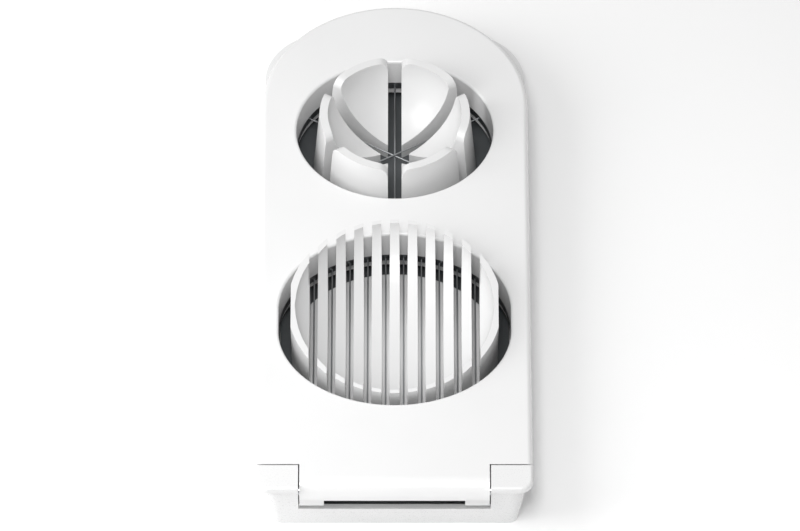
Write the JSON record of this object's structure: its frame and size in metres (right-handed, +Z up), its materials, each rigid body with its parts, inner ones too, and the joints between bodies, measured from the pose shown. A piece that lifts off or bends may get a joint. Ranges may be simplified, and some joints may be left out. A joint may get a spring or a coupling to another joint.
{
  "type": "egg slicer",
  "caption": "Two-station kitchen egg slicer: ribbed oval cradle for slices and petal cup for wedges under one hinged lid strung with steel wires.",
  "frame": {"origin": "on the table, under the middle of the body", "axes": "+X to the right seen from the hinge end, +Y from the hinge to the free end, +Z up"},
  "size_m": [0.086, 0.2014, 0.0314],
  "materials": {
    "base_plastic": "white, glossy moulded",
    "insert_plastic": "white, glossy moulded",
    "lid_plastic": "white, glossy moulded",
    "wire_steel": "drawn stainless wire",
    "frame_steel": "stamped stainless steel",
    "screw_steel": "stainless steel",
    "pin_steel": "ground stainless steel"
  },
  "bodies": {
    "base": {"base_shell": "base_plastic", "slicer_cradle": "insert_plastic", "wedger_cup": "insert_plastic", "hinge_pin_left": "pin_steel", "hinge_pin_right": "pin_steel"},
    "lid": {"lid_frame": "lid_plastic", "slicing_wire_frame": "frame_steel", "wedge_wire_ring": "frame_steel", "slicing_frame_screws": "screw_steel", "wedge_ring_screws": "screw_steel", "slicing_wire_01": "wire_steel", "slicing_wire_02": "wire_steel", "slicing_wire_03": "wire_steel", "slicing_wire_04": "wire_steel", "slicing_wire_05": "wire_steel", "slicing_wire_06": "wire_steel", "slicing_wire_07": "wire_steel", "slicing_wire_08": "wire_steel", "slicing_wire_09": "wire_steel", "slicing_wire_10": "wire_steel", "wedge_wire_1": "wire_steel", "wedge_wire_2": "wire_steel", "wedge_wire_3": "wire_steel"}
  },
  "joints": [
    {"name": "lid_hinge", "type": "hinge", "parent": "base", "child": "lid", "pos_m": [0, -0.09625, 0.016], "axis": [1, 0, 0], "range_deg": [0, 110]}
  ]
}
